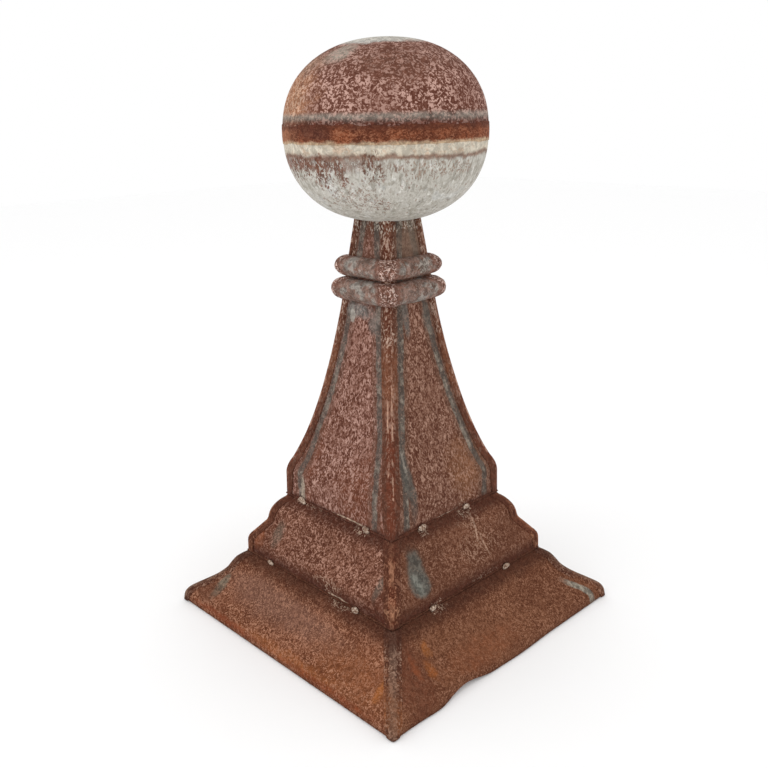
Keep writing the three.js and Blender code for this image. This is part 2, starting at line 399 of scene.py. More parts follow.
def patch(centre, size, colour, amount=0.85, ragged=1.1, grain=90.0, softness=0.25, **more):
    centre = tuple(value * mm for value in centre)
    size = tuple(value * mm for value in size)
    place = {"centre": centre, "size": size, "ragged": ragged, "grain": grain, "softness": softness}
    return {"where": [("patch", place)], "colour": colour, "amount": amount, **more}


def streaks(cover, scale, length, colour, amount):
    return {"where": [("streaks", {"cover": cover, "scale": scale, "length": length})], "colour": colour,
            "amount": amount}


def strip(near, far, colour, amount=0.8, ragged=0.008, swing=0.0, softness=0.002, **more):
    place = {"near": near * mm, "far": far * mm, "ragged": ragged, "swing": swing * mm, "softness": softness}
    return {"where": [("corner", place)], "colour": colour, "amount": amount, **more}


# Traces of solder left where two tiers meet.
def solderTrace(centre, size, amount, grain=200.0):
    return patch(centre, size, solderPale, amount, ragged=2.4, grain=grain, through="Light")


# Dark rust in the joints between tiers, with painted shade where one tier stands on the next.
jointRustAndShade = (78, 44, 33)
solderPale = (176, 152, 132)

rustLooks = {}

# Shaft
shaftLook = {"fleckScale": 265.0, "fleckLength": 1.7, "roughness": 0.88}
# Darker just above the shaft's foot: dark joint rust with painted shade.
shaftFootRustAndShade = band(0.15, 0.162, jointRustAndShade, 0.8, ragged=0.01)
neckSpots = band(0.5, 0.53, (200, 190, 176), 0.7, through="Light", ragged=0.012)
neckRust = band(0.465, 0.53, (112, 74, 60), 0.3)
rustLooks["shaftFront"] = {
    **shaftLook, "ground": (118, 79, 65), "groundOther": (133, 94, 81), "darkFleck": (80, 43, 32),
    "lightFleck": (188, 150, 137), "fleckAmount": 0.9, "darkAmount": 0.9,
    "layers": [
        neckRust,
        patch((60, -100, 200), (60, 40, 55), (110, 62, 42), 0.4, ragged=1.6, grain=30.0, flecked=0.4),
        patch((-60, -80, 230), (20, 40, 80), (116, 66, 46), 0.4, ragged=1.8, grain=40.0, flecked=0.4),
        strip(10, 26, (98, 70, 58), 0.55, swing=11, softness=0.006, flecked=0.3),
        strip(14.5, 20.5, (94, 87, 81), 0.85, swing=11, softness=0.003, broken=(26.0, 1.3), flecked=0.45,
              zinc=0.3),
        strip(14.5, 20.5, (144, 134, 122), 0.45, swing=11, ragged=0.012, broken=(70.0, 0.4), spread=0.2),
        patch((-10, -42, 406), (24, 20, 9), (128, 123, 118), 0.9, softness=0.4, spread=0.22, flecked=0.3,
              zinc=0.3),
        patch((18, -44, 394), (9, 20, 12), (116, 108, 102), 0.8, softness=0.4, spread=0.2, flecked=0.4,
              zinc=0.3),
        patch((-20, -44, 400), (5, 20, 8), (176, 170, 160), 0.7, ragged=2.2),
        shaftFootRustAndShade,
        patch((-64, -97, 172), (4, 10, 20), (164, 150, 134), 0.75, ragged=2.4, grain=160.0, spread=0.2),
        patch((26, -97, 158.5), (32, 10, 2.2), solderPale, 0.85, ragged=2.6, grain=260.0, spread=0.2),
        neckSpots,
    ],
}
# Right and back faces: the same rust with a darker ground and darker flecks, painted shade for the side away
# from the key light; the stains below are the sheet's own.
rustLooks["shaftSide"] = {
    **shaftLook, "ground": (108, 71, 56), "groundOther": (122, 85, 69), "darkFleck": (76, 41, 30),
    "lightFleck": (170, 134, 116), "fleckScale": 290.0, "fleckAmount": 0.85, "darkAmount": 0.85,
    "layers": [
        neckRust,
        patch((95, 45, 205), (40, 36, 36), (142, 98, 68), 0.45, ragged=1.6, grain=30.0, softness=0.5,
              flecked=0.6),
        strip(11, 28, (94, 68, 55), 0.55, swing=6, softness=0.006, flecked=0.3),
        strip(16, 22.5, (88, 82, 76), 0.9, swing=6, softness=0.003, broken=(24.0, 1.4), flecked=0.4,
              zinc=0.3),
        strip(19, 23, (158, 148, 134), 0.45, swing=6, ragged=0.012, broken=(60.0, 0.4), spread=0.2),
        patch((86, -58, 214), (24, 8, 50), (90, 86, 80), 0.9, ragged=0.9, grain=60.0, softness=0.35,
              flecked=0.35, zinc=0.3),
        patch((84, -57, 238), (24, 2, 18), (160, 150, 138), 0.55, ragged=2.4, grain=160.0),
        patch((42, -13, 400), (20, 5, 24), (108, 102, 96), 0.85, softness=0.4, flecked=0.4, zinc=0.3),
        patch((45, 22, 394), (20, 7, 18), (106, 98, 90), 0.7, softness=0.4, flecked=0.4, zinc=0.3),
        patch((33, 6, 486), (20, 20, 28), (136, 116, 100), 0.55, softness=0.5, flecked=0.5, zinc=0.2),
        shaftFootRustAndShade,
        patch((97, 2, 158), (10, 26, 1.6), solderPale, 0.85, ragged=2.0, grain=260.0, spread=0.2),
        patch((97, 26, 161), (10, 9, 7), (166, 142, 122), 0.7, ragged=2.4, grain=200.0, through="Light"),
        neckSpots,
    ],
}

# Plinth
plinthLook = {"fleckLength": 1.2, "roughness": 0.88}
# Darker below the plinth's nose and at its top: dark rust with painted shade under the nose and at the
# joints.
plinthFootRustAndShade = band(0.066, 0.087, (72, 38, 28), 0.8, ragged=0.016, softness=0.009)
plinthTopRustAndShade = band(0.145, 0.17, (70, 37, 27), 0.75, ragged=0.012, softness=0.006)
rustLooks["plinthFront"] = {
    **plinthLook, "ground": (104, 65, 49), "groundOther": (118, 77, 60), "darkFleck": (74, 38, 26),
    "lightFleck": (178, 136, 118), "fleckScale": 270.0, "fleckAmount": 0.9, "darkAmount": 0.85,
    "layers": [
        patch((-86, -125, 112), (9, 20, 16), (104, 92, 80), 0.7, softness=0.5, flecked=0.5, zinc=0.25),
        patch((104, -126, 108), (5, 20, 15), (108, 98, 88), 0.7, softness=0.5, flecked=0.5, zinc=0.25),
        patch((-118, -134, 96), (12, 14, 14), (138, 80, 52), 0.45, ragged=1.8, softness=0.5),
        patch((118, -134, 92), (16, 20, 20), (84, 46, 33), 0.5, ragged=1.4, softness=0.5),
        plinthFootRustAndShade,
        plinthTopRustAndShade,
        patch((45, -137, 76.5), (18, 10, 2), solderPale, 0.8, ragged=2.4, grain=260.0, spread=0.2),
        solderTrace((24, -134, 88), (26, 14, 9), 0.6, 120.0),
        solderTrace((-50, -97, 155), (24, 12, 3), 0.5),
        solderTrace((48, -99, 153), (14, 12, 4), 0.8),
    ],
}
# Right and back faces of the plinth: the same rust with a darker ground and darker flecks, painted shade for
# the side away from the key light; the stains below are the sheet's own.
rustLooks["plinthSide"] = {
    **plinthLook, "ground": (98, 61, 44), "groundOther": (112, 72, 53), "darkFleck": (76, 42, 29),
    "lightFleck": (152, 113, 93), "fleckScale": 310.0, "fleckAmount": 0.8, "darkAmount": 0.75,
    "layers": [
        patch((122, -78, 118), (36, 16, 31), (86, 62, 49), 0.7, ragged=0.8, softness=0.4),
        patch((120, -79, 119), (32, 12, 27), (96, 92, 85), 0.95, ragged=0.8, grain=70.0, softness=0.3,
              spread=0.2, flecked=0.3, zinc=0.3),
        patch((130, -83, 106), (28, 15, 13), (98, 95, 88), 0.9, ragged=0.8, grain=70.0, softness=0.3,
              spread=0.2, flecked=0.3, zinc=0.3),
        patch((129, -86, 107), (30, 6, 12), (122, 122, 114), 0.6, ragged=1.2, softness=0.5, spread=0.2),
        patch((112, 32, 136), (30, 5, 20), (170, 140, 120), 0.6, ragged=2.2, grain=130.0, through="Light"),
        patch((114, 34, 132), (30, 1.6, 22), (166, 136, 116), 0.6, ragged=2.0, grain=90.0, spread=0.2),
        patch((126, 40, 112), (24, 1.6, 14), (156, 126, 106), 0.5, ragged=2.0, grain=90.0, spread=0.2),
        patch((106, 28, 146), (20, 24, 9), (160, 128, 108), 0.7, ragged=1.8, through="Light"),
        patch((125, 30, 112), (22, 34, 16), (160, 128, 108), 0.5, ragged=1.8, through="Light"),
        plinthFootRustAndShade,
        plinthTopRustAndShade,
        solderTrace((137, -62, 77), (10, 10, 5), 0.6, 160.0),
        solderTrace((137, 30, 78), (10, 26, 5), 0.4, 160.0),
        solderTrace((99, -46, 152), (12, 9, 5), 0.8),
        solderTrace((99, 28, 152), (12, 12, 6), 0.8),
    ],
}

# Skirt
skirtLook = {"fleckLength": 1.1, "roughness": 0.9, "fleckThin": 0.45}
# Darker at the skirt's top where the plinth stands: dark rust with painted shade at the joint.
skirtTopRustAndShade = band(0.062, 0.09, (64, 34, 24), 0.75, ragged=0.014, softness=0.008)
skirtEdge = band(-0.01, 0.0035, (62, 33, 23), 0.6, ragged=0.003)
rustLooks["baseFront"] = {
    **skirtLook, "ground": (112, 67, 46), "groundOther": (128, 81, 59), "darkFleck": (80, 42, 26),
    "lightFleck": (178, 130, 104), "fleckScale": 320.0, "fleckAmount": 0.85, "darkAmount": 0.85,
    "layers": [
        patch((-40, -170, 44), (120, 40, 16), (122, 92, 80), 0.5, ragged=1.4, grain=25.0, softness=0.5,
              flecked=0.5),
        patch((120, -185, 26), (75, 40, 24), (140, 84, 50), 0.4, ragged=1.6, grain=30.0, softness=0.6,
              flecked=0.6),
        patch((162, -180, 33), (6, 20, 16), (174, 106, 52), 0.45, ragged=2.2, softness=0.5, flecked=0.5),
        patch((20, -199, 13), (80, 20, 7), (160, 96, 54), 0.4, ragged=2.2, grain=60.0, softness=0.5,
              flecked=0.4),
        patch((-110, -201, 9), (70, 20, 5), (126, 60, 34), 0.5, ragged=2.2, grain=60.0, softness=0.5),
        patch((90, -201, 8), (80, 20, 5), (122, 58, 32), 0.5, ragged=2.2, grain=60.0, softness=0.5),
        patch((-149, -178, 33), (8, 26, 15), (112, 106, 92), 0.8, softness=0.4, flecked=0.4, spread=0.2,
              zinc=0.25),
        patch((-160, -190, 24), (20, 20, 12), (84, 52, 38), 0.5, ragged=1.8, softness=0.5),
        skirtTopRustAndShade,
        skirtEdge,
        solderTrace((50, -140, 71), (18, 12, 3), 0.7),
    ],
}
# Right and back faces of the skirt: the same rust with a darker ground and darker flecks, painted shade for
# the side away from the key light; the stains below are the sheet's own.
rustLooks["baseSide"] = {
    **skirtLook, "ground": (102, 62, 43), "groundOther": (118, 76, 54), "darkFleck": (76, 42, 27),
    "lightFleck": (154, 110, 86), "fleckScale": 340.0, "fleckAmount": 0.8, "darkAmount": 0.75,
    "layers": [
        patch((175, -150, 36), (60, 30, 34), (96, 54, 38), 0.6, ragged=1.4, grain=40.0, softness=0.5),
        patch((163, -108, 47), (9, 6, 9), (154, 92, 46), 0.6, ragged=1.8, softness=0.5, flecked=0.4),
        patch((180, -117, 33), (12, 7, 11), (146, 84, 42), 0.65, ragged=1.8, softness=0.5, flecked=0.4),
        patch((170, -134, 40), (14, 5, 18), (130, 70, 42), 0.5, ragged=2.0, softness=0.5),
        {"where": [("corner", {"near": 0.024, "far": 0.033, "ragged": 0.01, "softness": 0.003}),
                   ("patch", {"centre": (0.193, 0.162, 0.02), "size": (0.03, 0.022, 0.03), "softness": 0.5})],
         "colour": (138, 132, 120), "amount": 0.95, "spread": 0.25, "flecked": 0.2, "zinc": 0.25},
        patch((186, -40, 24), (30, 60, 12), (128, 76, 50), 0.4, ragged=1.8, softness=0.5),
        skirtTopRustAndShade,
        skirtEdge,
        solderTrace((142, -64, 71), (14, 12, 4), 0.6, 160.0),
    ],
}

# Corner ribs
ribLook = {"fleckLength": 1.9, "roughness": 0.86, "fleckThin": 0.35}
ribScratch = {"where": [("corner", {"near": 0.0028, "far": 0.0044, "ragged": 0.003, "softness": 0.001}),
                        ("streaks", {"cover": 0.6, "scale": 130.0, "length": 6.0}),
                        ("band", {"low": 0.175, "high": 0.34, "softness": 0.03})],
              "colour": (190, 152, 130), "amount": 0.7}
rustLooks["shaftRib"] = {
    **ribLook, "ground": (110, 71, 55), "groundOther": (126, 87, 70), "darkFleck": (78, 40, 28),
    "lightFleck": (178, 146, 128), "fleckScale": 240.0, "fleckAmount": 0.8, "darkAmount": 0.85,
    "layers": [
        band(0.14, 0.285, (98, 50, 34), 0.8, ragged=0.06, softness=0.03, flecked=0.3),
        strip(9, 20, (80, 52, 40), 0.55, softness=0.004),
        band(0.3, 0.37, (130, 80, 54), 0.35, ragged=0.04, softness=0.02, flecked=0.4),
        ribScratch,
        # darker at the rib's foot: dark joint rust with painted shade
        band(0.15, 0.166, jointRustAndShade, 0.6),
        band(0.375, 0.53, (190, 168, 152), 0.4, through="Light", ragged=0.02),
        neckSpots,
    ],
}
rustLooks["plinthRib"] = {
    **ribLook, "ground": (98, 55, 39), "groundOther": (118, 68, 48), "darkFleck": (72, 36, 24),
    "lightFleck": (168, 120, 94), "fleckScale": 250.0, "fleckAmount": 0.7, "darkAmount": 0.85,
    "layers": [
        strip(-5, 2.5, (158, 112, 86), 0.5, broken=(50.0, 0.7), flecked=0.5, softness=0.003),
        strip(8, 18, (74, 44, 32), 0.5, softness=0.004),
        band(0.07, 0.1, (164, 120, 92), 0.5, through="Light", ragged=0.02),
        # darker at the rib's foot and top: dark joint rust with painted shade
        band(0.066, 0.08, jointRustAndShade, 0.6),
        band(0.142, 0.17, jointRustAndShade, 0.6),
    ],
}
rustLooks["baseRib"] = {
    **ribLook, "ground": (98, 62, 47), "groundOther": (120, 76, 54), "darkFleck": (68, 38, 28),
    "lightFleck": (166, 134, 114), "fleckScale": 250.0, "fleckLength": 1.3, "fleckAmount": 0.75,
    "darkAmount": 0.9,
    "layers": [
        patch((180, -190, 20), (40, 14, 30), (146, 88, 52), 0.5, ragged=1.8, softness=0.5, flecked=0.4),
        strip(-5, 4, (108, 90, 78), 0.5, broken=(40.0, 0.8), flecked=0.7, softness=0.004),
        strip(7.5, 10, (72, 44, 33), 0.45, broken=(60.0, 0.7), softness=0.003),
        skirtTopRustAndShade,
        skirtEdge,
    ],
}

# Neck beads
beadLook = {"fleckScale": 280.0, "fleckLength": 1.0, "roughness": 0.66, "fleckThin": 0.3, "bump": 0.6}


def beadPatch(cover, colour, amount, **more):
    return {"where": [("corner", {"near": 0.018, "far": 0.08, "ragged": 0.03, "softness": 0.008})],
            "broken": cover, "colour": colour, "amount": amount, "spread": 0.2, **more}


rustLooks["bead"] = {
    **beadLook, "ground": (125, 117, 109), "groundOther": (104, 93, 84), "darkFleck": (75, 57, 49),
    "lightFleck": (170, 163, 154), "fleckAmount": 0.7, "darkAmount": 0.65,
    "layers": [
        beadPatch((60.0, 0.8), (174, 168, 160), 0.65, flecked=0.4, zinc=0.3),
        beadPatch((42.0, 0.65), (114, 76, 61), 0.75, flecked=0.4),
        {"where": [("corner", {"near": 0.03, "far": 0.08, "ragged": 0.03, "softness": 0.01})],
         "colour": (106, 72, 60), "amount": 0.15, "spread": 0.2, "flecked": 0.5},
        strip(-10, 17, (124, 84, 70), 0.9, ragged=0.03, softness=0.008, flecked=0.4),
        strip(-10, 11, (214, 188, 176), 0.9, ragged=0.02, softness=0.005, through="Light"),
        strip(-10, 14, (80, 50, 40), 0.6, ragged=0.02, softness=0.005, through="Dark"),
    ],
}

# Ball; heights are measured from its widest line
widest = 0.6117
ballLook = {"fleckScale": 205.0, "fleckLength": 1.0, "broadScale": 14.0}


def ballBand(low, high, colour, amount=0.8, **more):
    return band(widest + low * mm, widest + high * mm, colour, amount, **more)


# Rust that shows through the dark flecks, under the belt.
def rustRun(centre, size, colour, amount):
    return patch(centre, size, colour, amount, ragged=2.0, through="Dark")


rustLooks["ballUpper"] = {
    **ballLook, "ground": (108, 68, 55), "groundOther": (124, 84, 71), "darkFleck": (84, 45, 34),
    "lightFleck": (198, 160, 147), "fleckAmount": 0.95, "darkAmount": 0.8, "roughness": 0.8,
    "fleckThin": 0.55, "fleckCover": 0.02,
    "layers": [
        patch((80, -58, 680), (44, 40, 20), (108, 70, 55), 0.55, ragged=1.6, grain=40.0, softness=0.5,
              flecked=0.3),
        patch((-48, -104, 640), (44, 50, 60), (204, 174, 150), 0.85, ragged=1.6, grain=40.0, softness=0.5,
              through="Light"),
        patch((-44, -106, 638), (46, 44, 48), (172, 122, 90), 0.75, ragged=1.6, grain=60.0, softness=0.6,
              flecked=0.5),
        ballBand(66, 97, (100, 66, 53), 0.45, ragged=0.02, softness=0.01, flecked=0.4),
        patch((9, -78, 695), (17, 24, 11), (182, 178, 164), 0.55, ragged=2.0, grain=60.0, softness=0.5,
              flecked=0.5, zinc=0.3),
        patch((-30, -80, 684), (30, 24, 14), (142, 112, 92), 0.5, ragged=1.8, grain=50.0, softness=0.5,
              flecked=0.4),
        patch((16, -36, 711), (54, 52, 7), (188, 187, 180), 0.95, ragged=1.3, grain=45.0, softness=0.3,
              flecked=0.3, zinc=0.35),
        ballBand(96, 120, (178, 174, 164), 0.9, ragged=0.006, softness=0.003, flecked=0.25, zinc=0.35),
        ballBand(12.5, 20.5, (106, 98, 91), 0.85, ragged=0.012, softness=0.003, flecked=0.5, spread=0.2,
                 zinc=0.3),
        ballBand(17.5, 20.5, (176, 166, 154), 0.6, ragged=0.01, broken=(50.0, 0.8), grain=35.0),
        ballBand(0, 13.5, (86, 47, 36), 0.9, ragged=0.009, softness=0.003, flecked=0.3, spread=0.2),
    ],
}
# Lower half: a pale grey ground and pale flecks, its own grey with painted under-light from the white floor.
rustLooks["ballLower"] = {
    **ballLook, "ground": (182, 178, 168), "groundOther": (194, 190, 181), "darkFleck": (160, 153, 141),
    "lightFleck": (210, 206, 197), "fleckScale": 290.0, "fleckLength": 2.2, "fleckAmount": 0.45,
    "darkAmount": 0.5, "roughness": 0.68,
    "layers": [
        streaks(0.5, 150.0, 9.0, (146, 140, 128), 0.6),
        streaks(0.35, 190.0, 12.0, (212, 210, 204), 0.6),
        streaks(0.2, 210.0, 5.0, (128, 98, 84), 0.65),
        streaks(0.45, 45.0, 4.0, (204, 204, 200), 0.5),
        ballBand(-23, 10, (188, 174, 154), 0.9, ragged=0.01, softness=0.004, flecked=0.3, spread=0.08),
        ballBand(-20, -8, (206, 198, 182), 0.6, ragged=0.02, softness=0.004, broken=(40.0, 0.9)),
        ballBand(-20, -6, (178, 136, 104), 0.4, ragged=0.02, softness=0.003, broken=(50.0, 0.3)),
        ballBand(-26, -21.5, (120, 88, 72), 0.8, ragged=0.02, softness=0.002, broken=(40.0, 1.3), grain=30.0),
        patch((-40, -106, 581), (52, 34, 7), (124, 88, 73), 0.85, ragged=2.2, softness=0.5, flecked=1.0),
        patch((16, -110, 580), (16, 30, 8), (118, 82, 67), 0.8, ragged=2.2, softness=0.5, flecked=1.0),
        patch((13, -110, 573), (8, 30, 13), (104, 68, 54), 0.8, ragged=2.2, softness=0.5, flecked=1.0),
        patch((37, -104, 575), (6, 30, 14), (112, 76, 62), 0.75, ragged=2.2, softness=0.5, flecked=1.0),
        patch((16, -112, 581), (78, 60, 9), (112, 76, 62), 0.7, ragged=2.2, grain=50.0, softness=0.5,
              flecked=0.8),
        rustRun((-30, -108, 576), (46, 30, 15), (108, 72, 58), 0.95),
        rustRun((-70, -84, 576), (44, 40, 17), (116, 78, 63), 0.95),
        rustRun((15, -109, 570), (13, 30, 22), (108, 72, 58), 0.95),
        rustRun((37, -102, 572), (8, 30, 20), (116, 80, 66), 0.95),
        rustRun((70, -88, 576), (12, 14, 20), (108, 74, 60), 0.9),
        patch((58, -66, 534), (9, 12, 26), (124, 92, 79), 0.85, ragged=1.8, through="Dark"),
        patch((42, -84, 546), (30, 20, 22), (140, 112, 99), 0.6, ragged=2.4, through="Dark"),
        rustRun((100, -30, 576), (30, 60, 11), (140, 112, 96), 0.7),
    ],
}
rustLooks["belt"] = {
    **ballLook, "ground": (104, 57, 39), "groundOther": (134, 75, 49), "darkFleck": (74, 38, 26),
    "lightFleck": (164, 112, 84), "fleckScale": 230.0, "fleckLength": 0.6, "fleckAmount": 0.6,
    "darkAmount": 0.7, "roughness": 0.82, "broadScale": 26.0,
    "layers": [
        patch((-60, -102, 612), (34, 30, 24), (168, 118, 88), 0.5, ragged=1.6, softness=0.5, flecked=0.4),
        patch((10, -118, 612), (22, 30, 8), (74, 42, 36), 0.6, ragged=1.6, softness=0.5),
        ballBand(5, 12, (82, 44, 33), 0.7, ragged=0.012, softness=0.003),
        ballBand(-14, -7.5, (188, 166, 138), 0.75, ragged=0.012, softness=0.002, spread=0.15),
    ],
}

# Solder
rustLooks["solder"] = {
    "ground": (142, 114, 95), "groundOther": (178, 156, 138), "darkFleck": (92, 62, 47),
    "lightFleck": (212, 196, 180), "fleckScale": 340.0, "fleckLength": 1.0, "fleckAmount": 0.85,
    "darkAmount": 0.85, "roughness": 0.7, "broadScale": 160.0, "bump": 0.8, "layers": [],
}
finishes = {name: makeFinish(name, look) for name, look in rustLooks.items()}
print("finishes made:", len(finishes))


# Outlines are half widths and heights from the foot of a tier upwards. The stretches are written
# as inset from the foot's half width and rise above the foot, in millimetres.

skirt = {
    "node": "base_panel_front",
    "step": 3.0,
    "columns": 60,
    "stretches": [
        ([], (1, 9)),
        ([(1.8, 15), (5.5, 19)], (11, 22.5)),
        ([(23, 31), (37, 38)], (45.5, 51)),
        ([(48.3, 56.3), (50.7, 60.5)], (53, 63.5)),
        ([(55.7, 66.5), (60.1, 69.8)], (66.4, 73.5)),
    ],
}
plinth = {
    "node": "plinth_panel_front",
    "step": 3.0,
    "columns": 44,
    "stretches": [
        ([], (0, 15.7)),
        ([(0, 20.4), (1.8, 24.4)], (5.3, 27.7)),
        ([], (18.3, 43.7)),
        ([(19.8, 45.7), (20.8, 48.7)], (21.2, 52.7)),
        ([(23.3, 63.4), (28.8, 71.8)], (37.8, 78)),
        ([], (40.2, 81.7)),
    ],
}
shaft = {
    "node": "shaft_panel_front",
    "step": 4.0,
    "columns": 30,
    "stretches": [
        ([], (0, 30)),
        ([(0, 36.7), (2.3, 43.9)], (7, 51.8)),
        ([(29.5, 101.8), (45, 178)], (56.1, 251.8)),
        ([], (70.1, 361)),
    ],
}


def outlineOf(tier):
    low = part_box(tier["node"])[0]
    half, foot = -low.y, low.z
    points = [Vector((half, foot))]
    for bends, end in tier["stretches"]:
        bends = [Vector((half - inset * mm, foot + rise * mm)) for inset, rise in bends]
        end = Vector((half - end[0] * mm, foot + end[1] * mm))
        start = points[-1]
        count = max(2, round((end - start).length / (tier["step"] * mm)))
        if bends:
            points += interpolate_bezier(start, bends[0], bends[1], end, count + 1)[1:]
        else:
            points += [start.lerp(end, i / count) for i in range(1, count + 1)]
    return [(p.x, p.y) for p in points]


# The top edge is turned in and tucked under the tier above.
flange = {"reach": 6.5, "rise": 1.8}


def withFlange(outline):
    half, top = outline[-1]
    return outline + [(half - flange["reach"] * mm, top + flange["rise"] * mm)]


# A tier is one square loop of edges, extruded up its outline and scaled at each step.

def climb(outline):
    for (half, height), (nextHalf, nextHeight) in zip(outline, outline[1:]):
        bpy.ops.mesh.extrude_region_move(TRANSFORM_OT_translate={"value": (0, 0, nextHeight - height)})
        change = nextHalf / half
        bpy.ops.transform.resize(value=(change, change, 1), center_override=(0, 0, nextHeight))


def raiseTier(name, outline, columns, cornerRadius=0):
    half, foot = outline[0]
    deselectAll()
    bpy.ops.mesh.primitive_plane_add(size=2 * half, location=(0, 0, foot))
    tier = bpy.context.object
    tier.name = name
    bpy.ops.object.transform_apply(location=True)
    startEditing(tier)
    if cornerRadius:
        bpy.ops.mesh.bevel(offset=cornerRadius, segments=8, affect="VERTICES")
        bpy.ops.mesh.select_all(action="SELECT")
    bpy.ops.mesh.delete(type="ONLY_FACE")
    finishEditing()
    startEditing(tier, "EDGE", "DESELECT")
    finishEditing()
    for edge in tier.data.edges:
        start, end = (tier.data.vertices[i].co for i in edge.vertices)
        edge.select = (end - start).length > half
    bpy.ops.object.mode_set(mode="EDIT")
    bpy.ops.mesh.subdivide(number_cuts=columns - 1)
    bpy.ops.mesh.select_all(action="SELECT")
    climb(outline)
    finishEditing()
    turnOutward(tier)
    return tier


# Cuts a tier along its mitres and gives each side its wall.

def splitIntoSides(tier, stem, thickness=sheetThickness):
    made = {}
    for side in ("front", "right", "back"):
        outward, across = sideDirections(sides[side])
        before = set(bpy.data.objects)
        selectFaces(tier, lambda centre: centre.dot(outward) > abs(centre.dot(across)))
        bpy.ops.mesh.separate(type="SELECTED")
        finishEditing()
        made[side] = (set(bpy.data.objects) - before).pop()
    made["left"] = tier
    for side, piece in made.items():
        piece.name = f"{stem}_{side}"
        if thickness:
            applyModifier(piece, "SOLIDIFY", thickness=thickness, offset=-1)
        settle(piece)
    return made


# The skirt's lower edge is turned in and its right side has been knocked near the front corner.

hem = {"width": 12, "turn": 2.0, "flat": 3.0}
blows = [
    {"place": (0.203, -0.084, 0.0), "push": (-0.0036, 0, 0.0058), "reach": 0.048},
    {"place": (0.203, -0.132, 0.0), "push": (0.0016, 0, 0.0), "reach": 0.032},
    {"place": (0.203, 0.02, 0.0), "push": (0.0016, 0, 0.0), "reach": 0.06},
]


def pushNear(piece, blow):
    place = Vector(blow["place"])
    nearest = min(piece.data.vertices, key=lambda v: (v.co - place).length).co.copy()
    selectVertices(piece, lambda co: (co - nearest).length < 1e-5)
    bpy.ops.transform.translate(value=blow["push"], use_proportional_edit=True,
                                proportional_edit_falloff="SMOOTH", proportional_size=blow["reach"])
    finishEditing()


# Old solder and scale lie in a lumpy line where one tier stands on the next.
seam = {"radius": 1.5, "steps": 8, "columns": 150, "out": 0.3, "up": 0.4}


def addSeam(panels, upperNode):
    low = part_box(upperNode)[0]
    middle, height, radius = -low.y + seam["out"] * mm, low.z + seam["up"] * mm, seam["radius"] * mm
    turns = [2 * math.pi * i / seam["steps"] for i in range(seam["steps"] + 1)]
    outline = [(middle - radius * math.cos(turn), height - radius * math.sin(turn)) for turn in turns]
    roll = raiseTier("seamRoll", outline, seam["columns"])
    startEditing(roll)
    bpy.ops.mesh.remove_doubles(threshold=1e-5)
    bpy.ops.mesh.normals_make_consistent(inside=False)
    finishEditing()
    roughen(roll, 1.0 * mm, 1.0 * mm, lump=2.2 * mm)
    for side, length in splitIntoSides(roll, "seamLength", 0).items():
        makeActive(panels[side])
        length.select_set(True)
        bpy.ops.object.join()


def finishPanels(panels, stem):
    for side, piece in panels.items():
        # Front and left faces take the lighter copy of the finish, right and back the copy darkened with
        # painted shade.
        look = stem + ("Front" if side in ("front", "left") else "Side")
        finishPiece(piece, f"{stem}_panel_{side}", finishes[look])


def makeSkirt():
    face = outlineOf(skirt)
    half, foot = face[0]
    turn = hem["turn"] * mm
    outline = [(half - hem["width"] * mm, foot), (half - turn, foot), (half - 0.3 * turn, foot + 0.3 * turn),
               (half, foot + turn)] + face[2:]
    tier = raiseTier("base", withFlange(outline), skirt["columns"])
    roughen(tier, 1.2 * mm, 0.4 * mm, above=hem["flat"] * mm)
    for blow in blows:
        pushNear(tier, blow)
    panels = splitIntoSides(tier, "skirtPanel")
    addSeam(panels, "plinth_panel_front")
    finishPanels(panels, "base")


def makePlinth():
    tier = raiseTier("plinth", withFlange(outlineOf(plinth)), plinth["columns"])
    roughen(tier, 1.0 * mm, 0.35 * mm)
    panels = splitIntoSides(tier, "plinthPanel")
    addSeam(panels, "shaft_panel_front")
    finishPanels(panels, "plinth")


def makeShaft():
    tier = raiseTier("shaft", outlineOf(shaft), shaft["columns"])
    roughen(tier, 0.9 * mm, 0.3 * mm)
    finishPanels(splitIntoSides(tier, "shaftPanel"), "shaft")


makeSkirt()
makePlinth()
makeShaft()
print("face panels done")


# Corner ribs: an angle of sheet carried up the corner, with a rounded nose and eased edges.

rib = {"proud": 1.8, "leg": 14.8, "nose": 5.0, "bed": 0.6, "ease": 1.2}
ribWidths = {  # rise above the foot in millimetres, and width there
    "base": [(0, 0.72), (12, 1.0), (80, 1.0)],
    "plinth": [(0, 0.8), (20, 1.0), (90, 1.0)],
    "shaft": [(0, 0.78), (25, 1.08), (60, 1.05), (130, 0.95), (360, 0.8)],
}


def widthAt(widths, rise):
    for (low, first), (high, second) in zip(widths, widths[1:]):
        if rise <= high:
            return first + (second - first) * (rise - low) / (high - low)
    return widths[-1][1]


